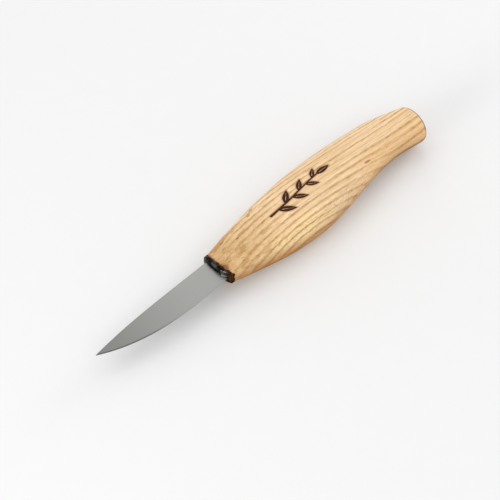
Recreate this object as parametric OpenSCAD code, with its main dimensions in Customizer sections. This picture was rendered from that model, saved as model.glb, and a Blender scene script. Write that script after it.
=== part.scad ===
// A fixed-blade whittling knife lying on its side. The tip points to -X, the spine to +Y and +Z is up.
// The origin is on the surface that the knife lies on, under the middle of its length and width.

/* [Blade] */
// Length of steel in front of the handle and its resin collar
blade_l = 65.2; // [50:0.1:80]
// Width of the blade where it leaves the collar
heel_w = 12.3; // [10:0.1:13]
// Thickness of the spine at the heel
spine_t = 2; // [1.2:0.1:2.6]
// Thickness of the steel just behind the sharpened bevel
shoulder_t = 0.4; // [0.2:0.05:0.6]
// Width of the sharpened bevel along the cutting edge
bevel_w = 0.9; // [0.4:0.1:1.5]
// How far the cutting edge bellies out past the heel
belly_drop = 2.3; // [0:0.1:4]
// How far the tip drops from the line of the spine
tip_drop = 3.7; // [1:0.1:6]

/* [Tang] */
// Length of the tang inside the handle
tang_l = 70; // [40:1:90]
// Width of the tang behind its shoulders
tang_w = 9.4; // [7:0.1:9.8]
// Width of the tang at its far end
tang_end_w = 6; // [4:0.1:7]
// Radius of the notches that key the tang into its adhesive
notch_r = 1.2; // [0.5:0.1:1.5]
// Gap between the steel and its slot in the wood, filled with adhesive
glue_gap = 0.6; // [0.3:0.1:0.8]

/* [Handle] */
// Length of the wooden handle
handle_l = 123.2; // [100:0.1:140]
// Thickness of the handle between its two flat sides
handle_t = 19; // [17:0.5:22]
// Width of the handle's front end
neck_w = 16.4; // [15.6:0.1:20]
// Thickness of the handle's front end
neck_t = 5.8; // [5.4:0.1:9]
// Diameter of the handle's round back end
butt_d = 18.3; // [16:0.1:20]
// How far the spine side bulges past the neck's half width
spine_bulge = 7.8; // [4:0.1:9]
// How far the belly side bulges past the neck's half width
belly_bulge = 6.5; // [4:0.1:8]

/* [Resin collar] */
// Length of the resin collar over the handle's front end
collar_l = 1.6; // [1:0.1:3]
// How far the collar stands proud of the wood
collar_proud = 0.15; // [0:0.05:0.4]

/* [Hidden] */

// Shares of the bulge at evenly spaced stations, from the neck to the butt.
spine_shares = [0, 0.375, 0.72, 0.965, 1.01, 0.925, 0.72];
belly_shares = [0, 0.47, 0.885, 0.99, 0.61, 0.07, -0.17];
// Half the thickness the stock would have if its flat sides weren't there, as a share of half handle_t.
side_shares = [0.74, 0.98, 1.03, 1.03, 1.005, 0.98];
// Squareness of each section, from 2 for an ellipse upwards.
section_powers = [4.5, 3.4, 3, 2.8, 2.7, 2.5, 2.2, 2];

neck_y = neck_w / 2;
butt_r = butt_d / 2;
spine_stations = concat([for (s = spine_shares) neck_y + s * spine_bulge], [butt_r]);
belly_stations = concat([for (s = belly_shares) neck_y + s * belly_bulge], [butt_r]);
side_stations = concat([neck_t / 2], [for (s = side_shares) s * handle_t / 2], [butt_r]);

section_sides = 48;    // points round one section of the handle
section_count = 44;    // sections between the handle's two softened ends
neck_round = 0.4;      // softening of the handle's front rim
butt_round = 1.1;      // softening of the handle's back rim
round_steps = 4;       // sections in a softened rim

ricasso_l = 5;         // full-width steel inside the handle, in front of the tang's shoulders
step_l = 1.5;          // length over which the steel steps down to the tang
tang_x = ricasso_l + step_l;
slot_t = spine_t + 2 * glue_gap;    // thickness of both slots in the handle
mouth_w = heel_w + 2 * glue_gap;    // slot in the handle's front, for the full-width steel
mouth_l = tang_x + glue_gap;
slot_w = tang_w + 2 * glue_gap;     // slot for the tang
slot_l = tang_l + 2 * glue_gap;
tang_nose_l = 1.5;     // softened far end of the tang
notch_pitch = 14;
notch_count = 4;
spine_ease = 0.2;      // eased corners along the spine
edge_flat = 0.03;      // half thickness of the cutting edge itself
blade_rings = 48;
tip_share = 0.985;     // where along the blade the last ring stands, before the point

x_neck = (collar_l + blade_l - handle_l) / 2;    // the wood's front end, with the whole length centred
handle_xs = concat(
    [for (i = [0 : round_steps - 1]) neck_round * (1 - cos(90 * i / round_steps))],
    [for (i = [0 : section_count]) neck_round + (handle_l - neck_round - butt_round) * i / section_count],
    [for (i = [1 : round_steps]) handle_l - butt_round * (1 - sin(90 * i / round_steps))]
);
// Centres the widest points of the handle on Y = 0.
y_mid = (max([for (x = handle_xs) belly_at(x)]) - max([for (x = handle_xs) spine_at(x)])) / 2;
z_mid = handle_t / 2;

// A smooth curve (Catmull-Rom) through evenly spaced values v, at t from 0 to len(v) - 1.
function smooth(v, t) =
    let (last = len(v) - 1, i = min(floor(t), last - 1), f = t - i,
         b = v[i], c = v[i + 1],
         a = i == 0 ? 2 * b - c : v[i - 1],
         d = i == last - 1 ? 2 * c - b : v[i + 2])
    (2 * b + (c - a) * f + (2 * a - 5 * b + 4 * c - d) * f * f + (3 * b - a - 3 * c + d) * f * f * f) / 2;
function along(v, x) = smooth(v, (len(v) - 1) * min(max(x / handle_l, 0), 1));
function spine_at(x) = along(spine_stations, x);
function belly_at(x) = along(belly_stations, x);

// How far a section shrinks within a softened rim.
function rim_inset(x) =
    x < neck_round ? neck_round - sqrt(pow(neck_round, 2) - pow(neck_round - x, 2)) :
    x > handle_l - butt_round ?
        butt_round - sqrt(max(0, pow(butt_round, 2) - pow(x - handle_l + butt_round, 2))) : 0;

function signed_power(v, p) = sign(v) * pow(abs(v), p);

// One section of the handle: a squarish oval whose top and bottom are cut flat by the sides of the stock.
function section(x, inset = 0) =
    let (upper = spine_at(x) - inset, lower = belly_at(x) - inset,
         a = (upper + lower) / 2, mid = (upper - lower) / 2,
         b = along(side_stations, x) - inset, p = 2 / along(section_powers, x),
         flat_z = handle_t / 2)
    [for (i = [0 : section_sides - 1])
        let (angle = 360 * i / section_sides)
        [x, mid + a * signed_power(cos(angle), p),
            min(max(b * signed_power(sin(angle), p), -flat_z), flat_z)]];

// A cubic Bezier curve.
function bezier(p, t) =
    pow(1 - t, 3) * p[0] + 3 * pow(1 - t, 2) * t * p[1] + 3 * (1 - t) * t * t * p[2] + pow(t, 3) * p[3];

heel_top = heel_w / 2;
heel_low = -heel_w / 2;
tip_y = heel_top - tip_drop;
x_shares = [0, 0.345, 0.70, 1];    // both outlines share their X, so that each ring lies in one plane
spine_curve = [heel_top, heel_top - 0.21 * tip_drop, heel_top - 0.24 * tip_drop, tip_y];
edge_curve = [heel_low, heel_low - 0.87 * belly_drop, heel_low - belly_drop, tip_y];
grind = (spine_t - shoulder_t) / 2 / heel_w;    // slope of each flat-ground face

// One ring of the blade or tang: eased spine, flat-ground face, sharpened bevel and edge.
function steel_ring(x, top, low, half_t, shoulder, bevel, edge) =
    let (ease = min(spine_ease, half_t / 3))
    [[x, top - ease, half_t], [x, top, half_t - ease], [x, top, ease - half_t], [x, top - ease, -half_t],
     [x, low + bevel, -shoulder], [x, low, -edge], [x, low, edge], [x, low + bevel, shoulder]];

function blade_ring(t) =
    let (x = -collar_l - blade_l * bezier(x_shares, t),
         top = bezier(spine_curve, t), low = bezier(edge_curve, t), width = top - low,
         step = 0.01,
         run = blade_l * (bezier(x_shares, t + step) - bezier(x_shares, t)),
         rise = bezier(edge_curve, t + step) - low,
         half_t = min(spine_t / 2, shoulder_t / 2 + grind * width))
    steel_ring(x, top, low, half_t, min(shoulder_t / 2, half_t * 0.8),
        min(bevel_w * sqrt(1 + pow(rise / run, 2)), width * 0.35), edge_flat);

function tang_ring(x, width, half_t) =
    steel_ring(x, width / 2, -width / 2, half_t, half_t, spine_ease, half_t - spine_ease);

heel_ring = blade_ring(0);
function heel_ring_at(x) = [for (p = heel_ring) [x, p[1], p[2]]];

// A solid through rings of points, closed flat at the first ring and flat or to a point at the last.
module loft(rings, point = undef) {
    n = len(rings[0]);
    last = len(rings) - 1;
    sides = [for (i = [0 : last - 1]) for (j = [0 : n - 1])
        let (a = i * n + j, b = i * n + (j + 1) % n)
        each [[a, b + n, b], [a, a + n, b + n]]];
    far_cap = is_undef(point)
        ? [[for (j = [n - 1 : -1 : 0]) last * n + j]]
        : [for (j = [0 : n - 1]) [last * n + j, (last + 1) * n, last * n + (j + 1) % n]];
    polyhedron(
        points = concat([for (r = rings) each r], is_undef(point) ? [] : [point]),
        faces = concat([[for (j = [0 : n - 1]) j]], sides, far_cap));
}

// A straight slot along +X with round ends, as a slot mortiser leaves it.
module round_slot(x, length, width, thickness) {
    translate([x, 0, 0]) rotate([90, 0, 90]) linear_extrude(height = length) {
        square([width - thickness, thickness], center = true);
        for (side = [-1, 1])
            translate([side * (width - thickness) / 2, 0]) circle(d = thickness, $fn = 32);
    }
}

// The space cut into the handle for the steel, from its front end inwards.
module tang_space(front = 0) {
    round_slot(front, mouth_l - front, mouth_w, slot_t);
    round_slot(mouth_l, slot_l - mouth_l, slot_w, slot_t);
}

module steel() {
    difference() {
        loft(concat(
            [tang_ring(tang_l, tang_end_w - tang_nose_l, spine_t / 3),
             tang_ring(tang_l - tang_nose_l, tang_end_w, spine_t / 2),
             tang_ring(tang_x, tang_w, spine_t / 2),
             heel_ring_at(ricasso_l)],
            [for (i = [0 : blade_rings]) blade_ring(tip_share * i / blade_rings)]),
            point = [-collar_l - blade_l, tip_y, 0]);
        for (i = [0 : notch_count - 1]) {
            x = tang_x + notch_pitch * (i + 0.5);
            half_w = (tang_w + (tang_end_w - tang_w) * (x - tang_x) / (tang_l - tang_x)) / 2;
            for (side = [-1, 1])
                translate([x, side * (half_w + notch_r / 3), -spine_t])
                    cylinder(r = notch_r, h = 2 * spine_t, $fn = 32);
        }
    }
}

module placed() {
    translate([x_neck, y_mid, z_mid]) children();
}

module handle() {
    color("burlywood") placed() difference() {
        loft([for (x = handle_xs) section(x, rim_inset(x))]);
        tang_space(front = -1);
    }
}

module blade() {
    color("darkgray") placed() steel();
}

module tang_adhesive() {
    color("goldenrod") placed() difference() {
        tang_space();
        steel();
    }
}

// The neck's outline, standing proud of the wood and then shrunk by an inset.
function collar_ring(x, inset) = [for (p = section(0, inset - collar_proud)) [x, p[1], p[2]]];

// Dark resin cast over the handle's front end, with a rounded nose, around the steel.
module resin_collar() {
    nose = collar_l * 0.6;
    color([0.12, 0.07, 0.04]) placed() difference() {
        loft(concat(
            [for (turn = [90 : -15 : 0])
                collar_ring(nose - collar_l - nose * sin(turn), nose * 0.8 * (1 - cos(turn)))],
            [collar_ring(0, 0)]));
        steel();
    }
}

handle();
blade();
tang_adhesive();
resin_collar();
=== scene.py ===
"""The looks of a whittling knife: a curved ash handle, a flat-ground steel blade and a dark resin collar.

Lengths are written in millimetres and become metres where a mesh is made. The frame is the CAD model's:
+X runs from the tip to the butt and +Y from the cutting edge to the spine, and the knife lies on its
side on Z = 0.
"""

import math

import bpy
import numpy as np
from mathutils import Matrix, Vector, noise


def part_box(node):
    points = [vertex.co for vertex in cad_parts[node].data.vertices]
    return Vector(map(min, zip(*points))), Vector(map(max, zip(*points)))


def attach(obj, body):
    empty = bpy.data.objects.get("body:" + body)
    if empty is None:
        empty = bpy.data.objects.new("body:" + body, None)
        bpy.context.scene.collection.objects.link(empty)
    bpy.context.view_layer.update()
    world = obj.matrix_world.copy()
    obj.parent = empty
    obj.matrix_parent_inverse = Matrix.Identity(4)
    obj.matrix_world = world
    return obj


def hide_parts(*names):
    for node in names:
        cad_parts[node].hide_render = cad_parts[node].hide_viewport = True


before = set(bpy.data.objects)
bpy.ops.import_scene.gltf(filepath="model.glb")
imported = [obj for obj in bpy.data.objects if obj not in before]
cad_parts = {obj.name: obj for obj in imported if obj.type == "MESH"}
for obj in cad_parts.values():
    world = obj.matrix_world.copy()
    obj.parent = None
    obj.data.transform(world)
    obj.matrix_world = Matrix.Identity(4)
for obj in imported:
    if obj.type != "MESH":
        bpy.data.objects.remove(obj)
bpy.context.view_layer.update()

MM = 0.001


def box_mm(name):
    low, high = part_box(name)
    return np.array(low) / MM, np.array(high) / MM


# ---------------------------------------------------------------- sizes, in millimetres

handle_low, handle_high = box_mm("handle")
blade_low, _ = box_mm("blade")
collar_low, collar_high = box_mm("resin_collar")

NECK_X, BUTT_X = handle_low[0], handle_high[0]
HANDLE_L = BUTT_X - NECK_X
HALF_T = (handle_high[2] - handle_low[2]) / 2
Z_MID = (handle_high[2] + handle_low[2]) / 2
Y_MID = (collar_high[1] + collar_low[1]) / 2

NECK_HALF_W = 8.2
NECK_HALF_T = 2.9
BUTT_R = 9.15
NECK_ROUND = 0.4
BUTT_ROUND = 1.1
SPINE_BULGE = 7.8
BELLY_BULGE = 6.5
# The outlines at even stations from the neck to the butt. The first two are shares of the bulges, and the
# third is shares of half the handle's thickness. The first two, like the bulges, started as a least-squares
# fit to the photo's outline, made outside this script, and were then rounded and adjusted.
SPINE_SHARES = (0, 0.375, 0.72, 0.965, 1.01, 0.925, 0.72)
BELLY_SHARES = (0, 0.47, 0.885, 0.99, 0.61, 0.07, -0.17)
SIDE_SHARES = (0.74, 0.98, 1.03, 1.03, 1.005, 0.98)
SECTION_POWERS = (4.5, 3.4, 3, 2.8, 2.7, 2.5, 2.2, 2)    # 2 is a round section, and more is squarer

COLLAR_L = NECK_X - collar_low[0]
HEEL_X = collar_low[0]
TIP_X = blade_low[0]
BLADE_L = HEEL_X - TIP_X
HEEL_W = 12.3
SPINE_T = 2.0
SHOULDER_T = 0.4
BEVEL_W = 0.9
BELLY_DROP = 2.3
TIP_DROP = 3.7
SPINE_EASE = 0.2
EDGE_HALF_T = 0.03

TANG_L = 70.0
TANG_W = 9.4
TANG_END_W = 6.0
TANG_NOSE_L = 1.5
RICASSO_L = 5.0
TANG_X = RICASSO_L + 1.5    # from the neck to where the tang has its own width
NOTCH_R = 1.2
NOTCH_OUT = NOTCH_R / 3     # how far outside the tang's edge a notch has its centre
NOTCH_PITCH = 14.0
NOTCH_COUNT = 4
GLUE_GAP = 0.6


# ---------------------------------------------------------------- curves and fields

def smooth(values, t):
    """A Catmull-Rom curve through evenly spaced values, at t from 0 to len(values) - 1."""
    v = np.asarray(values, float)
    v = np.concatenate([[2 * v[0] - v[1]], v, [2 * v[-1] - v[-2]]])
    t = np.asarray(t, float)
    i = np.clip(np.floor(t).astype(int), 0, len(values) - 2)
    f = t - i
    a, b, c, d = v[i], v[i + 1], v[i + 2], v[i + 3]
    return (2 * b + (c - a) * f + (2 * a - 5 * b + 4 * c - d) * f**2 + (3 * b - a - 3 * c + d) * f**3) / 2


def bezier(p, t):
    """A cubic Bezier curve with the four values p, at t from 0 to 1."""
    return (1 - t) ** 3 * p[0] + 3 * (1 - t) ** 2 * t * p[1] + 3 * (1 - t) * t**2 * p[2] + t**3 * p[3]


def smoothstep(low, high, x):
    t = np.clip((x - low) / (high - low), 0, 1)
    return t * t * (3 - 2 * t)


def perlin(points, scale, seed=0.0):
    """Perlin noise at points (n, 3), with features about scale long on each axis."""
    q = points / np.asarray(scale, float) + seed
    return np.array([noise.noise(Vector(p)) for p in q])


def along_handle(values, x):
    """x is measured from the neck."""
    return smooth(values, np.clip(x / HANDLE_L, 0, 1) * (len(values) - 1))


def stations(start, shares, bulge, end):
    return [start + s * bulge for s in shares] + [end]


SPINE_STATIONS = stations(NECK_HALF_W, SPINE_SHARES, SPINE_BULGE, BUTT_R)
BELLY_STATIONS = stations(NECK_HALF_W, BELLY_SHARES, BELLY_BULGE, BUTT_R)
SIDE_STATIONS = [NECK_HALF_T] + stations(0, SIDE_SHARES, HALF_T, BUTT_R)


# ---------------------------------------------------------------- mesh helpers

def resample(ring, fractions):
    """Points at fractions of a closed ring's length, measured from its first point."""
    closed = np.vstack([ring, ring[:1]])
    steps = np.linalg.norm(np.diff(closed, axis=0), axis=1)
    lengths = np.concatenate([[0], np.cumsum(steps)])
    return np.stack([np.interp(fractions * lengths[-1], lengths, closed[:, k]) for k in range(3)], axis=1)


def loft(name, rings, start=None, end=None, smooth_angle=30):
    """A closed mesh through rings that turn about +X and run towards -X.

    Each end is closed by a point, and with neither the last ring is joined to the first.
    """
    rings = np.asarray(rings)
    count, n = rings.shape[:2]
    index = np.arange(count * n).reshape(count, n)
    following = np.roll(index, -1, axis=1)
    if start is None:
        index, following = np.vstack([index, index[:1]]), np.vstack([following, following[:1]])
    faces = np.stack([index[:-1], index[1:], following[1:], following[:-1]], axis=-1).reshape(-1, 4).tolist()
    points = rings.reshape(-1, 3)
    if start is not None:
        points = np.vstack([points, start, end])
        faces += [[int(a), int(b), count * n] for a, b in zip(index[0], following[0])]
        faces += [[int(b), int(a), count * n + 1] for a, b in zip(index[-1], following[-1])]
    mesh = bpy.data.meshes.new(name)
    mesh.from_pydata((points * MM).tolist(), [], faces)
    mesh.polygons.foreach_set("use_smooth", [True] * len(mesh.polygons))
    mesh.set_sharp_from_angle(angle=math.radians(smooth_angle))
    mesh.update()
    piece = bpy.data.objects.new(name, mesh)
    bpy.context.scene.collection.objects.link(piece)
    return piece


def add_attribute(piece, name, values):
    attribute = piece.data.attributes.new(name, "FLOAT", "POINT")
    padded = np.zeros(len(piece.data.vertices), np.float32)
    padded[:values.size] = values.ravel()
    attribute.data.foreach_set("value", padded)


def grid_normals(rings):
    """Outward unit normals of rings that turn about +X and run towards -X."""
    around = np.roll(rings, -1, axis=1) - np.roll(rings, 1, axis=1)
    n = np.cross(np.gradient(rings, axis=0), around)
    return n / np.maximum(np.linalg.norm(n, axis=-1, keepdims=True), 1e-9)


def round_slot(x, width, thickness, fractions):
    """A ring in the plane of x: a slot with round ends, starting at the middle of its +Y end."""
    r = thickness / 2
    turn = np.radians(np.linspace(0, 90, 13))
    corner = np.stack([(width / 2 - r) + r * np.cos(turn), r * np.sin(turn)], axis=1)
    half = np.vstack([corner, corner[::-1] * (-1, 1)])
    ring = np.vstack([half, half[-2:0:-1] * (1, -1)])
    ring = np.column_stack([np.full(len(ring), x), ring[:, 0] + Y_MID, ring[:, 1] + Z_MID])
    return resample(ring, fractions)


# ---------------------------------------------------------------- the burned sprig on the handle

SPRIG_CENTRE = (22.0, 1.1)
SPRIG_TURN = math.radians(3.4)
STEM_START, STEM_END = -19.0, 13.0
STEM_SWAY = 0.8
SWAY_L = 30.0           # half the length of one sway of the stem
STEM_HALF_W = 0.38
STEM_TAPER = 0.25       # how much wider the stem is at its start, and thinner at its end
FIRST_LEAF = 4.5        # from the stem's start
LEAF_PITCH = 4.784
LEAF_COUNT = 6
LEAF_ANGLE = math.radians(38)
LEAF_L, LEAF_W = 8.4, 3.1
LEAF_SHRINK = 0.06      # how much smaller each leaf is than the one before, as a share of the first
LEAF_LEAN, LEAF_FULLNESS = 0.85, 0.9    # powers that shape a leaf's outline
TIP_LEAF_X = STEM_END - 0.5
TIP_LEAF_ANGLE = -0.06
TIP_LEAF_L, TIP_LEAF_W = 8.0, 2.7
RIB_START, RIB_END = 0.2, 0.82          # shares of a leaf's length
RIB_HALF_W, RIB_END_HALF_W = 0.17, 0.05
BURN_DEPTH = 0.28
BURN_EDGE = 0.16        # half the width of the burn's sloping side


def stem_sway(a):
    return STEM_SWAY * np.sin(a * math.pi / SWAY_L)


def leaf_distance(a, b, base, angle, length, width):
    """Distance outside a lens-shaped leaf with an unburned midrib. It is negative inside."""
    da, db = a - base[0], b - base[1]
    m = da * math.cos(angle) + db * math.sin(angle)
    n = np.abs(-da * math.sin(angle) + db * math.cos(angle))
    share = np.clip(m / length, 0, 1)
    half_w = width / 2 * np.sin(math.pi * share**LEAF_LEAN) ** LEAF_FULLNESS
    beyond = np.maximum(np.maximum(-m, m - length), 0)
    blade = np.hypot(np.maximum(n - half_w, 0), beyond) + np.minimum(n - half_w, 0)
    rib = RIB_HALF_W * (1 - share) + RIB_END_HALF_W - n
    rib = np.where((share > RIB_START) & (share < RIB_END), rib, -np.inf)
    return np.maximum(blade, rib)


def sprig_distance(x, y):
    """Distance from the burned lines of the sprig, in the plane of the handle's flat side."""
    cos, sin = math.cos(SPRIG_TURN), math.sin(SPRIG_TURN)
    dx, dy = x - SPRIG_CENTRE[0], y - SPRIG_CENTRE[1]
    a, b = dx * cos + dy * sin, dy * cos - dx * sin
    along = (a - STEM_START) / (STEM_END - STEM_START)
    past = np.maximum(np.maximum(STEM_START - a, a - STEM_END), 0)
    distance = np.hypot(b - stem_sway(a), past) - STEM_HALF_W * (1 + STEM_TAPER * (1 - 2 * along))
    for i in range(LEAF_COUNT):
        side = 1 if i % 2 else -1
        base = STEM_START + FIRST_LEAF + i * LEAF_PITCH
        size = 1 - LEAF_SHRINK * i
        leaf = leaf_distance(a, b, (base, stem_sway(base)), side * LEAF_ANGLE, LEAF_L * size, LEAF_W * size)
        distance = np.minimum(distance, leaf)
    end = (TIP_LEAF_X, stem_sway(TIP_LEAF_X))
    return np.minimum(distance, leaf_distance(a, b, end, TIP_LEAF_ANGLE, TIP_LEAF_L, TIP_LEAF_W))


# ---------------------------------------------------------------- the handle

RING_POINTS, SECTION_POINTS = 236, 720
FINE_SHARE = (0.15, 0.34)    # the part of each ring that the sprig lies on
FINE_EDGE = 0.03             # the share of a ring over which its points spread out again
FINE_DENSITY = 2.6
BODY_STEP, SPRIG_STEP = 0.5, 0.2
SPRIG_MARGIN = 1.0
RIM_POINTS = 8
UNEVENNESS = 0.10            # how far hand sanding leaves the surface below its true shape
HAND_WAVES = (((16, 9, 9), 0), ((34, 16, 16), 7))    # the waves' sizes, and the seed of each
EVEN_BUTT, EVEN_NECK = 6, 3  # how far from each end the surface is quite even
FAR_FROM_BURN = 3.0
FACE_SHARES = (0.12, 0.35, 0.6, 0.8, 0.93)           # the butt's flat face, as rings out from its middle


def ring_fractions():
    """Shares of a ring's length, closer together across the flat side that carries the sprig."""
    fine = np.linspace(0, 1, 2001)
    low, high = FINE_SHARE
    inside = smoothstep(low - FINE_EDGE, low, fine) * (1 - smoothstep(high, high + FINE_EDGE, fine))
    weight = 1 + (FINE_DENSITY - 1) * inside
    total = np.concatenate([[0], np.cumsum((weight[1:] + weight[:-1]) / 2)])
    return np.interp(np.arange(RING_POINTS) / RING_POINTS, total / total[-1], fine)


def body_stations():
    """Distances from the neck, closer together where the sprig is."""
    first = SPRIG_CENTRE[0] + STEM_START - SPRIG_MARGIN - NECK_X
    last = SPRIG_CENTRE[0] + STEM_END + TIP_LEAF_L + SPRIG_MARGIN - NECK_X
    parts = ((NECK_ROUND, first, BODY_STEP), (first, last, SPRIG_STEP),
             (last, HANDLE_L - BUTT_ROUND, BODY_STEP))
    return np.concatenate([np.linspace(a, b, round((b - a) / step), endpoint=False) for a, b, step in parts])


def rim_inset(x):
    """How far a section shrinks within the softened rims at the handle's two ends."""
    for depth, radius in ((x, NECK_ROUND), (HANDLE_L - x, BUTT_ROUND)):
        if depth < radius:
            return radius - math.sqrt(max(0, radius**2 - (radius - depth) ** 2))
    return 0


def section(x, fractions, inset=0.0):
    """One ring of the handle: a squarish oval cut flat by the two sides of the stock."""
    phi = np.linspace(0, 2 * math.pi, SECTION_POINTS, endpoint=False)
    inset = inset + rim_inset(x)
    upper, lower = along_handle(SPINE_STATIONS, x) - inset, along_handle(BELLY_STATIONS, x) - inset
    side = along_handle(SIDE_STATIONS, x) - inset
    power = 2 / along_handle(SECTION_POWERS, x)
    c, s = np.cos(phi), np.sin(phi)
    y = (upper - lower) / 2 + (upper + lower) / 2 * np.sign(c) * np.abs(c) ** power
    z = np.clip(side * np.sign(s) * np.abs(s) ** power, -HALF_T, HALF_T)
    return resample(np.column_stack([np.full_like(y, NECK_X + x), y + Y_MID, z + Z_MID]), fractions)


def outer_rings(fractions):
    """The wood's outside, from the butt's rim to the neck's."""
    turns = np.radians(np.linspace(0, 90, RIM_POINTS))
    xs = np.concatenate([
        HANDLE_L - BUTT_ROUND * (1 - np.cos(turns)),
        body_stations()[::-1],
        NECK_ROUND * (1 - np.cos(turns[-2::-2])),
    ])
    return np.array([section(x, fractions) for x in xs])


def make_handle():
    fractions = ring_fractions()
    outer = outer_rings(fractions)
    points = outer.reshape(-1, 3)
    uneven = sum(perlin(points, scale, seed) for scale, seed in HAND_WAVES) / 2
    uneven = np.clip(0.5 + uneven, 0, 1).reshape(outer.shape[:2]) * UNEVENNESS
    uneven *= smoothstep(0, EVEN_BUTT, HANDLE_L + NECK_X - outer[..., 0])
    uneven *= smoothstep(0, EVEN_NECK, outer[..., 0] - NECK_X)
    burn = sprig_distance(outer[..., 0], outer[..., 1])
    burn = np.where(outer[..., 2] > Z_MID, np.minimum(burn, FAR_FROM_BURN), FAR_FROM_BURN)
    sunk = uneven + BURN_DEPTH * smoothstep(BURN_EDGE, -BURN_EDGE, burn)
    normals = grid_normals(outer)
    outer = outer - normals * sunk[..., None]

    butt_centre = outer[0].mean(axis=0)
    butt_face = [butt_centre + (outer[0] - butt_centre) * share for share in FACE_SHARES]
    mouth_w, slot_w, slot_t = HEEL_W + 2 * GLUE_GAP, TANG_W + 2 * GLUE_GAP, SPINE_T + 2 * GLUE_GAP
    step_x, end_x = NECK_X + TANG_X + GLUE_GAP, NECK_X + TANG_L + 2 * GLUE_GAP
    slot = [
        round_slot(NECK_X, mouth_w, slot_t, fractions),
        round_slot(step_x, mouth_w, slot_t, fractions),
        round_slot(step_x, slot_w, slot_t, fractions),
        round_slot(end_x, slot_w, slot_t, fractions),
    ]
    rings = np.concatenate([butt_face, outer, slot])
    piece = loft("ash_handle", rings, start=butt_centre, end=slot[-1].mean(axis=0))
    fields = (("burn_distance", burn, FAR_FROM_BURN), ("facing_down", -normals[..., 2], 0))
    for name, values, elsewhere in fields:
        padded = np.full(rings.shape[:2], elsewhere, float)
        padded[len(butt_face):len(butt_face) + len(outer)] = values
        add_attribute(piece, name, padded)
    return piece


# ---------------------------------------------------------------- the blade

BLADE_RINGS, TANG_RINGS, HEEL_RINGS = 180, 160, 5
LAST_RING = 0.992        # the ring before the tip, as a share of the outline
HEEL_TOP, HEEL_LOW = HEEL_W / 2, -HEEL_W / 2
TIP_Y = HEEL_TOP - TIP_DROP
X_SHARES = (0, 0.345, 0.70, 1)
SPINE_CURVE = (HEEL_TOP, HEEL_TOP - 0.21 * TIP_DROP, HEEL_TOP - 0.24 * TIP_DROP, TIP_Y)
EDGE_CURVE = (HEEL_LOW, HEEL_LOW - 0.87 * BELLY_DROP, HEEL_LOW - BELLY_DROP, TIP_Y)
GRIND = (SPINE_T - SHOULDER_T) / 2 / HEEL_W     # the flat grind's slope
FACE_POINTS, EASE_POINTS = 7, 5
BEVEL_MOST = 0.35        # the widest that the bevel gets, as a share of the blade's width
SHOULDER_MOST = 0.8      # the thickest that its shoulder gets, as a share of the spine
SLOPE_STEP = 0.01        # how far apart two points of the outline are when its slope is measured


def steel_ring(x, top, low, half_t, shoulder, bevel, edge, ease):
    """Eased spine, flat-ground face, sharpened bevel and edge, starting at the middle of the spine."""
    turn = np.radians(np.linspace(0, 90, EASE_POINTS))
    spine = np.stack([top - ease + ease * np.cos(turn), half_t - ease + ease * np.sin(turn)], axis=1)
    face = np.linspace(spine[-1], (low + bevel, shoulder), FACE_POINTS)[1:]
    half = np.vstack([(top, 0), spine, face, (low, edge)])
    ring = np.vstack([half, half[:0:-1] * (1, -1)])
    return np.column_stack([np.full(len(ring), x), ring[:, 0] + Y_MID, ring[:, 1] + Z_MID])


def blade_ring(t):
    """One ring of the exposed blade, from the heel at t = 0 to the tip at t = 1."""
    top, low = bezier(SPINE_CURVE, t), bezier(EDGE_CURVE, t)
    run = BLADE_L * (bezier(X_SHARES, t + SLOPE_STEP) - bezier(X_SHARES, t))
    rise = bezier(EDGE_CURVE, t + SLOPE_STEP) - low
    half_t = min(SPINE_T / 2, SHOULDER_T / 2 + GRIND * (top - low))
    shoulder = min(SHOULDER_T / 2, half_t * SHOULDER_MOST)
    bevel = min(BEVEL_W * math.hypot(1, rise / run), (top - low) * BEVEL_MOST)
    edge, ease = min(EDGE_HALF_T, half_t / 3), min(SPINE_EASE, half_t / 3)
    return steel_ring(HEEL_X - BLADE_L * bezier(X_SHARES, t), top, low, half_t, shoulder, bevel, edge, ease)


def tang_half_width(x):
    """Half the tang's width at x from the neck, with the round notches that key it into its adhesive."""
    def plain(at):
        return (TANG_W + (TANG_END_W - TANG_W) * (at - TANG_X) / (TANG_L - TANG_X)) / 2
    width = plain(x)
    for i in range(NOTCH_COUNT):
        centre = TANG_X + NOTCH_PITCH * (i + 0.5)
        if abs(x - centre) < NOTCH_R:
            width = min(width, plain(centre) + NOTCH_OUT - math.sqrt(NOTCH_R**2 - (x - centre) ** 2))
    return width


def make_blade():
    half_t = SPINE_T / 2
    end_t = half_t * 2 / 3
    ease = SPINE_EASE / 2
    end_w = (TANG_END_W - TANG_NOSE_L) / 2
    rings = [steel_ring(NECK_X + TANG_L, end_w, -end_w, end_t, end_t, ease, half_t / 3, ease)]
    for x in np.linspace(TANG_L - TANG_NOSE_L, TANG_X, TANG_RINGS):
        half_w = tang_half_width(x)
        rings.append(steel_ring(NECK_X + x, half_w, -half_w, half_t, half_t, ease, half_t - ease, ease))
    heel = blade_ring(0)
    for x in np.linspace(RICASSO_L, -COLLAR_L, HEEL_RINGS, endpoint=False):
        rings.append(heel + (NECK_X + x - HEEL_X, 0, 0))
    rings += [blade_ring(t) for t in np.linspace(0, LAST_RING, BLADE_RINGS)]
    start = rings[0].mean(axis=0)
    piece = loft("steel_blade", rings, start=start, end=(TIP_X, Y_MID + TIP_Y, Z_MID), smooth_angle=4)
    rings = np.array(rings)
    add_attribute(piece, "edge_distance", rings[..., 1] - rings[..., 1].min(axis=1, keepdims=True))
    add_attribute(piece, "spine_distance", rings[..., 1].max(axis=1, keepdims=True) - rings[..., 1])
    return piece


# ---------------------------------------------------------------- the resin collar

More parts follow.
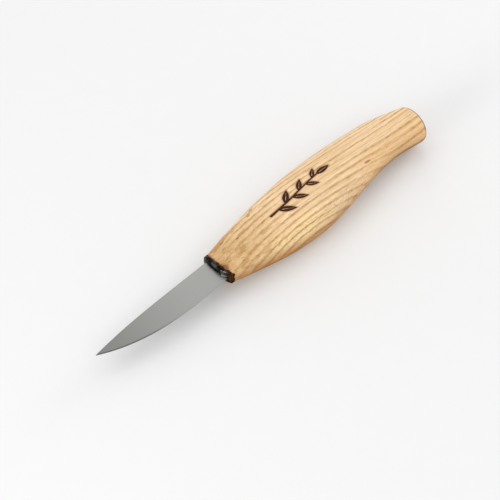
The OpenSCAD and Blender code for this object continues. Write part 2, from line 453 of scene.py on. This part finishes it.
COLLAR_POINTS = 300
BAND_RINGS, NOSE_RINGS, FRONT_RINGS = 6, 12, 13
COLLAR_PROUD = 0.15      # how far it stands out from the wood
SPINE_SLANT, BELLY_SLANT = 0.6, 1.15    # how much shorter the collar is at its two ends
COLLAR_NOSE = 0.6        # share of the collar's length that its rounded nose takes
NOSE_INSET = 0.8         # how far the nose draws in, as a share of its length
LUMP = 0.2
LUMP_RANGE = (-1, 0.25)  # hollows go deeper than bumps stand out
LUMP_WAVES = (((2.2, 2.2, 1.8), 0, 0.75), ((1.0, 0.9, 0.9), 3, 0.25))    # size, seed and share
MENISCUS = 0.5           # how far the resin climbs onto the steel
MENISCUS_POWER = 5
STEEL_GRIP = (1, 0.995, 0.9)            # the collar's opening as shares of the steel, so that no gap shows
SMEAR = 0.45             # how far the resin runs back over the wood
SMEAR_LEAST = 0.05
RAGGED, RAGGED_SPREAD = 0.7, 1.6        # the run's mean and its variation, as shares of SMEAR
RAGGED_WAVES = (((1, 2.2, 1.4), 5, 1.0), ((1, 0.8, 0.6), 8, 0.5))
CORNER_SMEAR = 0.85      # how much further it runs at the belly side's upper corner
CORNER_REACH = (0.5, 5.0)
SMEAR_FILM = 0.06
SMEAR_BASE = 2.0         # how far back the wood's own surface is sampled


def waves(points, parts):
    """A sum of Perlin noises, each with its size, seed and share."""
    return sum(perlin(points, scale, seed) * share for scale, seed, share in parts)


def smear_length(ring):
    """How far the resin runs back over the wood at each point of the neck's outline."""
    corner = np.array([Y_MID - NECK_HALF_W, Z_MID + NECK_HALF_T / 2])
    near = 1 - smoothstep(*CORNER_REACH, np.hypot(ring[:, 1] - corner[0], ring[:, 2] - corner[1]))
    ragged = RAGGED + RAGGED_SPREAD * waves(ring, RAGGED_WAVES)
    return np.maximum(SMEAR * ragged + CORNER_SMEAR * near, SMEAR_LEAST)


def make_collar():
    fractions = np.arange(COLLAR_POINTS) / COLLAR_POINTS
    nose = COLLAR_L * COLLAR_NOSE
    steel = resample(blade_ring(0), fractions)
    centre = np.array([0, Y_MID, Z_MID])

    def neck_ring(x, inset):
        ring = section(NECK_ROUND, fractions, inset)
        ring[:, 0] = NECK_X - x
        return ring

    def smeared_ring(share, inset):
        """The resin's surface over the wood, at a share of its run back from the neck."""
        near, far = (section(x, fractions, inset) for x in (NECK_ROUND, NECK_ROUND + SMEAR_BASE))
        run = smear_length(near)[:, None] * share
        return near + (far - near) * run / SMEAR_BASE - (NECK_ROUND, 0, 0)

    # Shares of the run back from the neck, and how far under the wood's surface each ring lies
    smear = ((0, SMEAR_FILM), (1, SMEAR_FILM), (1, -SMEAR_FILM / 2), (0.8, -SMEAR_FILM),
             (0.4, -0.6 * COLLAR_PROUD))
    outer = [smeared_ring(share, inset) for share, inset in smear]
    smeared = len(outer)
    outer += [neck_ring(x, -COLLAR_PROUD) for x in np.linspace(0, COLLAR_L - nose, BAND_RINGS)]
    for turn in np.radians(np.linspace(10, 90, NOSE_RINGS)):
        inset = nose * NOSE_INSET * (1 - math.cos(turn)) - COLLAR_PROUD
        outer.append(neck_ring(COLLAR_L - nose * (1 - math.sin(turn)), inset))
    rim = outer[-1]
    steel[:, 0] = rim[0, 0]
    around_steel = centre + (steel - centre) * STEEL_GRIP
    front = []
    for share in np.linspace(0, 1, FRONT_RINGS + 1)[1:]:
        ring = rim + (around_steel - rim) * share
        ring[:, 0] -= MENISCUS * share**MENISCUS_POWER
        front.append(ring)
    face = np.array(outer + front)
    normals = grid_normals(face)
    lumps = waves(face.reshape(-1, 3), LUMP_WAVES)
    lumps = (np.clip(lumps, *LUMP_RANGE) * LUMP).reshape(face.shape[:2])
    fade = np.linspace(0, 1, len(face) - smeared)
    lumps[:smeared] = 0
    lumps[smeared:] *= (smoothstep(0, 0.1, fade) * (1 - smoothstep(0.85, 1, fade)))[:, None]
    face += normals * lumps[..., None]
    off_middle = face[..., 1] - Y_MID
    slant = SPINE_SLANT * smoothstep(3, NECK_HALF_W, off_middle)
    slant += BELLY_SLANT * smoothstep(2, 7, -off_middle)
    face[..., 0] += slant * np.clip((NECK_X - face[..., 0]) / COLLAR_L, 0, 1)
    back = around_steel.copy()
    back[:, 0] = NECK_X
    return loft("resin_collar_bead", np.concatenate([face, [back]]), smooth_angle=50)


# ---------------------------------------------------------------- material helpers

class Surface:
    """A node material whose patterns are set out in millimetres on the object itself."""

    def __init__(self, name, **sockets):
        self.material = bpy.data.materials.new(name)
        self.material.use_nodes = True
        self.nodes, self.links = self.material.node_tree.nodes, self.material.node_tree.links
        self.shader = self.nodes["Principled BSDF"]
        for socket, value in sockets.items():
            self.shader.inputs[socket].default_value = value
        place = self.nodes.new("ShaderNodeTexCoord").outputs["Object"]
        self.place = self.vector("SCALE", place, scale=1 / MM)

    def put(self, kind, inputs, **settings):
        """A new node. Its inputs take sockets, plain values or None, which leaves them alone."""
        made = self.nodes.new(kind)
        for key, value in settings.items():
            setattr(made, key, value)
        for key, value in inputs.items():
            if isinstance(value, bpy.types.NodeSocket):
                self.links.new(value, made.inputs[key])
            elif value is not None:
                made.inputs[key].default_value = value
        return made

    def axes(self):
        return self.put("ShaderNodeSeparateXYZ", {0: self.place}).outputs

    def attribute(self, name):
        return self.put("ShaderNodeAttribute", {}, attribute_name=name).outputs["Fac"]

    def math(self, operation, a, b=0.0, c=0.0, clamp=False):
        made = self.put("ShaderNodeMath", {0: a, 1: b, 2: c}, operation=operation, use_clamp=clamp)
        return made.outputs[0]

    def times(self, a, *others):
        for b in others:
            a = self.math("MULTIPLY", a, b)
        return a

    def times_plus(self, a, factor, added, clamp=False):
        return self.math("MULTIPLY_ADD", a, factor, added, clamp)

    def most(self, a, b):
        return self.math("MAXIMUM", a, b)

    def vector(self, operation, a, b=None, scale=None):
        made = self.put("ShaderNodeVectorMath", {0: a, 1: b, "Scale": scale}, operation=operation)
        return made.outputs["Vector"]

    def noise(self, sizes, detail=2.0, rough=0.5, offset=(0, 0, 0), distortion=0.0):
        """Noise with features of the given sizes in millimetres along X, Y and Z."""
        moved = self.vector("ADD", self.place, offset)
        place = self.vector("MULTIPLY", moved, [1 / size for size in sizes])
        inputs = {"Vector": place, "Scale": 1.0, "Detail": detail, "Roughness": rough,
                  "Distortion": distortion}
        return self.put("ShaderNodeTexNoise", inputs).outputs[0]

    def step(self, value, low, high, to_low=0.0, to_high=1.0):
        """A smooth step from to_low at low to to_high at high."""
        inputs = {"Value": value, "From Min": low, "From Max": high, "To Min": to_low, "To Max": to_high}
        return self.put("ShaderNodeMapRange", inputs, interpolation_type="SMOOTHSTEP").outputs[0]

    def blend(self, share, a, b):
        """The colour a, with a share of the colour b."""
        return self.put("ShaderNodeMix", {0: share, 6: a, 7: b}, data_type="RGBA").outputs[2]

    def ramp(self, value, stops):
        """The levels of stops, read at value. Each stop is a position and a level."""
        made = self.put("ShaderNodeValToRGB", {0: value})
        points = made.color_ramp.elements
        while len(points) < len(stops):
            points.new(0.5)
        for point, (position, level) in zip(points, stops):
            point.position = position
            point.color = (level, level, level, 1)
        return made.outputs[0]

    def bump(self, height, depth, strength=1.0):
        """depth is in millimetres, for a height that goes from 0 to 1."""
        inputs = {"Height": height, "Distance": depth * MM, "Strength": strength}
        self.feed("Normal", self.put("ShaderNodeBump", inputs).outputs[0])

    def feed(self, socket, value):
        self.links.new(value, self.shader.inputs[socket])


def srgb(r, g, b):
    """A colour from its 0 to 255 display values."""
    def linear(v):
        v /= 255
        return v / 12.92 if v <= 0.04045 else ((v + 0.055) / 1.055) ** 2.4
    return (linear(r), linear(g), linear(b), 1.0)


# ---------------------------------------------------------------- ash

# The tilt, bend, pitch, crowding and phase are rounded from least-squares fits to the photo's ring lines,
# made outside this script.
RING_TILT = 0.40          # how far the growth rings lean from upright, as a slope
GRAIN_UNIT = 50.0         # the grain's bending is a cubic in X divided by this
GRAIN_BEND = (-2.9, 6.2, -1.9)
RING_PITCH = 3.36         # between rings in the middle of the handle
RING_CROWDING = 0.00038   # how much closer the rings get toward the spine and the belly
RING_PHASE = 0.17
# Noises that make the rings wander: size, detail, roughness and reach
RING_WANDER = (((34, 9, 9), 1.5, 0.5, 1.1), ((5.5, 1.3, 1.3), 3, 0.6, 0.95), ((2.2, 0.8, 0.8), 1, 0.5, 0.5))
# How dark the wood is across one ring, with the ring's dark line at 0.5
RING_PROFILE = ((0.0, 0.0), (0.26, 0.06), (0.41, 0.6), (0.5, 1.0), (0.6, 0.62), (0.8, 0.1))
FAINT_PROFILE = ((0.0, 0.0), (0.35, 0.1), (0.5, 1.0), (0.65, 0.1))
FAINT_PER_RING = 2.37

ASH_PALE = srgb(247, 217, 174)
ASH_TAN = srgb(234, 199, 151)
ASH_RING = srgb(184, 138, 86)
ASH_PORE = srgb(128, 84, 44)
# Painted light: the belly side's front is painted paler, as if more light fell on it
BELLY_PAINTED_LIGHT = srgb(255, 225, 169)
# Painted shade low on the belly side: a tan band, and a darker brown near the floor
BELLY_SHADE_TAN = srgb(184, 117, 36)
CONTACT_SHADE_BROWN = srgb(108, 64, 22)
NECK_TAN = srgb(206, 172, 121)
NECK_BROWN = srgb(166, 126, 70)
REAR_GOLD = srgb(238, 189, 124)
END_GRAIN = srgb(160, 114, 68)
# Painted shade on the butt's rounded rim
RIM_SHADE_BROWN = srgb(100, 62, 32)
CHAR = srgb(52, 20, 8)
SCORCH = srgb(120, 66, 30)
SCORCH_L = 1.6            # how far the neck is scorched behind the collar
STAIN_Y = Y_MID - 3.2     # where that scorch reaches furthest
# Small dark pin marks: X, Y from the middle, half the length and half the width
FLECKS = ((57.3, -6.1, 2.2, 0.42), (0.6, 10.0, 1.3, 0.40), (-2.8, 7.8, 1.0, 0.40),
          (-14.3, 2.9, 0.8, 0.42), (-20.0, 6.6, 1.2, 0.35), (-14.0, -12.0, 1.2, 0.35))


def growth_rings(s, x, y, z):
    """A count of growth rings across the handle. Each whole number is a ring's dark line."""
    across = s.times_plus(s.math("SUBTRACT", z, Z_MID), -RING_TILT, s.math("SUBTRACT", Y_MID, y))
    far = s.times(x, 1 / GRAIN_UNIT)
    bend = s.times_plus(far, -GRAIN_BEND[2], -GRAIN_BEND[1])
    bend = s.times_plus(bend, far, -GRAIN_BEND[0])
    across = s.times_plus(bend, far, across)
    for sizes, detail, rough, reach in RING_WANDER:
        wander = s.math("SUBTRACT", s.noise(sizes, detail, rough), 0.5)
        across = s.times_plus(wander, reach, across)
    crowding = s.times(across, s.times(across, RING_CROWDING))
    return s.times_plus(across, s.math("ADD", crowding, 1 / RING_PITCH), RING_PHASE)


def ring_lines(s, rings, belly):
    """Dark lines from 0 to 1, strongest at the belly, with faint ones between them where they are weak."""
    strength = s.noise((40, 3.2, 3.2), offset=(0, 40, 0), detail=1)
    line = s.ramp(s.math("FRACT", s.math("ADD", rings, 0.5)), RING_PROFILE)
    line = s.times(line, s.step(s.times_plus(belly, 0.15, strength), 0.34, 0.54, 0.45, 1.0))
    faint = s.ramp(s.math("FRACT", s.times(rings, FAINT_PER_RING)), FAINT_PROFILE)
    faint = s.times(faint, s.step(strength, 0.40, 0.62, 0.55, 0.0))
    return s.most(line, faint)


def fleck(s, x, y, centre_x, centre_y, half_l, half_w):
    """A small dark pin mark in the wood, drawn out along the grain."""
    along = s.times(s.math("SUBTRACT", x, centre_x), 1 / half_l)
    across = s.times(s.math("SUBTRACT", y, Y_MID + centre_y), 1 / half_w)
    reach = s.math("ADD", s.times(along, along), s.times(across, across))
    return s.step(reach, 0.3, 1.3, 1.0, 0.0)


def neck_scorch(s, x, y):
    """The wood that was heated and stained beside the collar."""
    beyond = s.math("SUBTRACT", x, NECK_X + 0.9)
    beyond = s.times_plus(s.noise((1.6, 1.1, 1.1), detail=3), 1.8, beyond)
    from_stain = s.math("ABSOLUTE", s.math("SUBTRACT", y, STAIN_Y))
    beyond = s.math("SUBTRACT", beyond, s.step(from_stain, 0.6, 2.6, 1.1, 0.0))
    return s.step(beyond, 0.2, SCORCH_L, 0.85, 0.0)


def ash():
    s = Surface("ash_wood", Roughness=0.55)
    x, y, z = s.axes()
    belly = s.times(s.step(y, Y_MID - 6, Y_MID - 12), s.step(x, 34, 10))
    line = ring_lines(s, growth_rings(s, x, y, z), belly)
    pores = s.step(s.noise((2.8, 0.34, 0.34), detail=1), 0.54, 0.66)
    pores = s.times(pores, s.times_plus(line, 0.85, 0.12, clamp=True))
    fibres = s.noise((14, 0.22, 0.22), detail=3, rough=0.65)
    streaks = s.noise((30, 1.1, 1.1), detail=2, rough=0.6, offset=(3, 8, 1))

    # Broad tints: pale streaks, painted light that makes the belly paler, a tanned and blotched neck, and
    # gold low at the rear
    colour = s.blend(s.step(streaks, 0.34, 0.66), ASH_PALE, ASH_TAN)
    colour = s.blend(belly, colour, BELLY_PAINTED_LIGHT)
    mottle = s.noise((9, 5, 5), detail=3, rough=0.6, offset=(9, 0, 5))
    toward_neck = s.step(s.times_plus(mottle, 30, x), NECK_X + 14, NECK_X + 54, 0.95, 0.0)
    colour = s.blend(toward_neck, colour, NECK_TAN)
    blotches = s.noise((8, 1.9, 1.9), detail=3, rough=0.65, offset=(5, 2, 7), distortion=0.5)
    blotches = s.times(s.step(blotches, 0.42, 0.68), s.times_plus(toward_neck, 0.86, 0.14))
    colour = s.blend(blotches, colour, NECK_BROWN)
    rear = s.times(s.step(x, 40, 65), s.step(y, Y_MID - 1, Y_MID - 6, 0.0, 0.5))
    colour = s.blend(rear, colour, REAR_GOLD)

    # Painted shade: a tanned band low along the belly side and a browner edge below it near the floor,
    # ending where the wood turns under
    facing_down = s.attribute("facing_down")
    not_under = s.step(facing_down, 0.5, 0.8, 1.0, 0.1)
    painted_low_shade = s.times(
        s.step(z, Z_MID + 3.5, Z_MID - 3), s.step(y, Y_MID + 2, Y_MID - 4), not_under,
        s.step(x, 20, 60, 0.95, 0.4), s.step(streaks, 0.3, 0.6, 0.8, 1.0))
    colour = s.blend(painted_low_shade, colour, BELLY_SHADE_TAN)
    ends = s.math("ADD", s.step(x, 14, -8, 0.3, 0.85), s.step(x, 38, 58, 0.0, 0.8))
    painted_contact_shade = s.times(s.step(facing_down, 0.08, 0.5), s.times(ends, not_under))
    colour = s.blend(painted_contact_shade, colour, CONTACT_SHADE_BROWN)

    # Rings, fibres, pores, fine specks and pin marks
    # Within the painted shade low on the belly, the ring lines are painted browner too
    ring_and_shade_colour = s.blend(s.times(painted_low_shade, 0.6), ASH_RING, CONTACT_SHADE_BROWN)
    colour = s.blend(s.times(line, s.times_plus(belly, 0.12, 0.84)), colour, ring_and_shade_colour)
    colour = s.blend(s.step(fibres, 0.35, 0.75, 0.0, 0.18), colour, ASH_RING)
    colour = s.blend(s.times(pores, 0.66), colour, ASH_PORE)
    specks = s.noise((1.5, 0.5, 0.5), detail=3, rough=0.7, offset=(7, 3, 9))
    speckled = s.most(toward_neck, s.times(s.step(y, Y_MID - 7, Y_MID - 12), s.step(x, 60, 40)))
    specks = s.times(s.step(specks, 0.56, 0.74), s.times_plus(speckled, 0.6, 0.05))
    colour = s.blend(specks, colour, ASH_PORE)
    marks = 0.0
    for mark in FLECKS:
        marks = s.most(fleck(s, x, y, *mark), marks)
    colour = s.blend(s.times(marks, 0.75), colour, ASH_PORE)

    # The butt's end grain, and painted shade as a dark line round its rim
    colour = s.blend(s.step(x, BUTT_X - 0.5, BUTT_X - 0.05, 0.0, 0.7), colour, END_GRAIN)
    rim = s.times(s.step(x, BUTT_X - 1.2, BUTT_X - 0.7), s.step(x, BUTT_X - 0.2, BUTT_X - 0.03, 0.85, 0.0))
    colour = s.blend(rim, colour, RIM_SHADE_BROWN)

    # The burned sprig with its scorched halo
    wobble = s.times_plus(s.noise((0.7, 0.5, 0.5), detail=2), 0.24, -0.12)
    distance = s.math("ADD", s.attribute("burn_distance"), wobble)
    halo = s.step(distance, 0.0, 0.9, 0.55, 0.0)
    burned = s.step(distance, -0.10, 0.12, 0.96, 0.0)
    colour = s.blend(s.most(halo, neck_scorch(s, x, y)), colour, SCORCH)
    s.feed("Base Color", s.blend(burned, colour, CHAR))

    rough = s.times_plus(pores, 0.25, s.times_plus(fibres, 0.16, 0.44))
    s.feed("Roughness", s.times_plus(burned, 0.3, rough, clamp=True))
    s.feed("Specular IOR Level", s.times_plus(burned, -0.28, 0.35))
    s.bump(s.times_plus(pores, -0.6, s.times_plus(line, -0.25, s.times(fibres, 0.25))), 0.09)
    return s.material


# ---------------------------------------------------------------- steel, resin and adhesive

STEEL = 0.428
STEEL_TINT = (0.99, 1, 0.955)
RESIN_DARK = srgb(16, 11, 8)
# Painted reflection on the collar's front face
RESIN_REFLECTION = srgb(50, 54, 47)
RESIN_AMBER = srgb(84, 46, 20)
EPOXY_DARK, EPOXY_PALE = srgb(176, 140, 84), srgb(200, 166, 108)


def steel():
    """Satin steel with grind lines across the blade, with painted reflection that makes it darker toward the
    tip and along its edges.
    """
    s = Surface("satin_steel", Metallic=1.0, Roughness=0.36)
    x, _, _ = s.axes()
    grind = s.noise((0.09, 9, 9), detail=3, rough=0.7)
    polish = s.noise((7, 0.12, 0.6), detail=2, offset=(4, 4, 4))
    cloud = s.noise((22, 7, 7), detail=2)
    lines = s.times_plus(polish, 0.35, s.times(grind, 0.65))
    tone = s.times_plus(lines, 0.05, s.times_plus(cloud, 0.03, STEEL - 0.04))
    # Painted reflection: darker toward the tip and a little lighter in the middle of the blade
    tone = s.times(tone, s.step(x, TIP_X - 14, HEEL_X + 8, 0.63, 1.04))
    middle = s.times(s.step(x, TIP_X + 8, TIP_X + 26), s.step(x, HEEL_X, HEEL_X - 20))
    tone = s.times(tone, s.times_plus(middle, 0.04, 1.0))
    # Painted reflection: dark lines along the cutting edge near the tip and along the spine's corners
    edge = s.step(s.attribute("edge_distance"), 0.35, 0.75, 1.0, 0.0)
    edge = s.times(edge, s.step(x, TIP_X + 18, TIP_X + 42, 1.0, 0.0))
    corner = s.step(s.attribute("spine_distance"), 0.15, 0.5, 0.45, 0.0)
    tone = s.times(tone, s.times_plus(s.most(edge, corner), -0.5, 1.0))
    channels = {i: s.times(tone, share) for i, share in enumerate(STEEL_TINT)}
    s.feed("Base Color", s.put("ShaderNodeCombineColor", channels).outputs[0])
    s.feed("Roughness", s.times_plus(lines, 0.14, 0.28))
    s.bump(lines, 0.004, 0.6)
    return s.material


def dark_resin():
    """Near-black resin, amber where it is thin, with painted grey reflection and glints on its front."""
    s = Surface("dark_resin", Roughness=0.3)
    x, y, _ = s.axes()
    mottled = s.noise((1.3, 1.2, 1.2), detail=1.5)
    sheen = s.noise((2.2, 2.2, 2.2), detail=1, offset=(2, 6, 1))
    belly_end = s.step(y, Y_MID - 4, Y_MID - 8)
    thin_edge = s.step(x, NECK_X - 0.8, NECK_X, 0.0, 0.75)
    amber = s.times(s.most(belly_end, thin_edge), s.step(mottled, 0.36, 0.72))
    # Painted reflection: grey on the front face, away from the belly end
    grey = s.times(s.step(x, NECK_X - 0.9, NECK_X - 1.4), s.step(sheen, 0.46, 0.64))
    grey = s.times(grey, s.math("SUBTRACT", 1.0, belly_end))
    s.feed("Base Color", s.blend(amber, s.blend(grey, RESIN_DARK, RESIN_REFLECTION), RESIN_AMBER))
    s.feed("Roughness", s.step(mottled, 0.3, 0.7, 0.16, 0.36))
    glints = s.step(sheen, 0.5, 0.66, 0.04, 0.5)
    s.feed("Specular IOR Level", s.times(glints, s.times_plus(belly_end, -0.8, 1.0)))
    s.bump(s.noise((1.6, 1.6, 1.6), detail=1), 0.08, 0.6)
    return s.material


def epoxy():
    s = Surface("cured_epoxy", Roughness=0.3)
    bubbles = s.noise((0.8, 0.8, 0.8), detail=2)
    s.feed("Base Color", s.blend(s.step(bubbles, 0.35, 0.65), EPOXY_DARK, EPOXY_PALE))
    s.feed("Roughness", s.step(bubbles, 0.3, 0.7, 0.22, 0.4))
    s.bump(bubbles, 0.05)
    return s.material


# ---------------------------------------------------------------- the object

def place_piece(piece, node, material):
    piece.data.materials.append(material)
    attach(piece, "root")
    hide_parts(node)


place_piece(make_handle(), "handle", ash())
place_piece(make_blade(), "blade", steel())
place_piece(make_collar(), "resin_collar", dark_resin())
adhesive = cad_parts["tang_adhesive"]
adhesive.data.materials.clear()
adhesive.data.materials.append(epoxy())


# ---------------------------------------------------------------- floor, light and camera

FLOOR_HALF = 3000.0
FLOOR_GREY, FLOOR_MOTTLE = 0.80, 0.008


def make_floor():
    h = FLOOR_HALF * MM
    mesh = bpy.data.meshes.new("floor")
    mesh.from_pydata([(-h, -h, 0), (h, -h, 0), (h, h, 0), (-h, h, 0)], [], [(0, 1, 2, 3)])
    floor = bpy.data.objects.new("floor", mesh)
    bpy.context.scene.collection.objects.link(floor)
    s = Surface("pale_paper", Roughness=0.9)
    s.shader.inputs["Specular IOR Level"].default_value = 0.2
    paper = s.noise((9, 9, 9), detail=4, rough=0.6)
    dark, light = ((FLOOR_GREY + change,) * 3 + (1,) for change in (-FLOOR_MOTTLE, FLOOR_MOTTLE))
    s.feed("Base Color", s.blend(paper, dark, light))
    floor.data.materials.append(s.material)


def aim(thing, place, target):
    back = (Vector(place) - Vector(target)).normalized()
    turn = back.to_track_quat("Z", "Y").to_matrix().to_4x4()
    thing.matrix_world = Matrix.Translation(Vector(place) * MM) @ turn


# The turn, target and lens came from a least-squares fit to the photo's outline, made outside this script at
# a chosen elevation and distance, and were then adjusted.
CAMERA_TURN = math.radians(-45.39)
CAMERA_ELEVATION = math.radians(48)
CAMERA_DISTANCE = 700.0
CAMERA_TARGET = (-11.2, -2.25, 9.5)
LENS, SENSOR_W = 119.25, 36
CLIP_START = 0.05         # metres


def make_camera():
    data = bpy.data.cameras.new("camera")
    data.lens = LENS
    data.sensor_width = SENSOR_W
    data.clip_start = CLIP_START
    camera = bpy.data.objects.new("camera", data)
    bpy.context.scene.collection.objects.link(camera)
    level = math.cos(CAMERA_ELEVATION)
    across, along = math.sin(CAMERA_TURN) * level, -math.cos(CAMERA_TURN) * level
    back = Vector((across, along, math.sin(CAMERA_ELEVATION)))
    aim(camera, Vector(CAMERA_TARGET) + back * CAMERA_DISTANCE, CAMERA_TARGET)
    bpy.context.scene.camera = camera


# This level and the powers of the round lights below are a solver's results, not chosen by hand. It fitted
# them, outside this script, to how bright the photo's surface and wood are.
WORLD_LEVEL = 0.845


def make_world():
    world = bpy.data.worlds.new("studio")
    world.use_nodes = True
    surround = world.node_tree.nodes["Background"].inputs
    surround["Color"].default_value = (1, 1, 1, 1)
    surround["Strength"].default_value = WORLD_LEVEL
    bpy.context.scene.world = world


SOFTBOX_D, SOFTBOX_REACH = 450.0, 1000.0
# Round lights aimed at the object: the direction and the elevation of each in degrees, and its power
SOFTBOXES = (("tip_end", 180, 12, 5.97), ("butt_end", 0, 12, 3.84), ("belly_side", 250, 45, 0.83),
             ("spine_side", 60, 12, 0.45), ("back", 45, 32, 0.29), ("high", 120, 62, 0.44))


def make_softboxes():
    for name, turn, elevation, power in SOFTBOXES:
        data = bpy.data.lights.new("softbox_" + name, "AREA")
        data.shape = "DISK"
        data.size = SOFTBOX_D * MM
        data.energy = power
        light = bpy.data.objects.new("softbox_" + name, data)
        bpy.context.scene.collection.objects.link(light)
        a, e = math.radians(turn), math.radians(elevation)
        place = Vector((math.cos(e) * math.cos(a), math.cos(e) * math.sin(a), math.sin(e)))
        aim(light, place * SOFTBOX_REACH, (0, 0, 0))


make_floor()
make_camera()
make_world()
make_softboxes()
bpy.context.scene.view_settings.view_transform = "Standard"
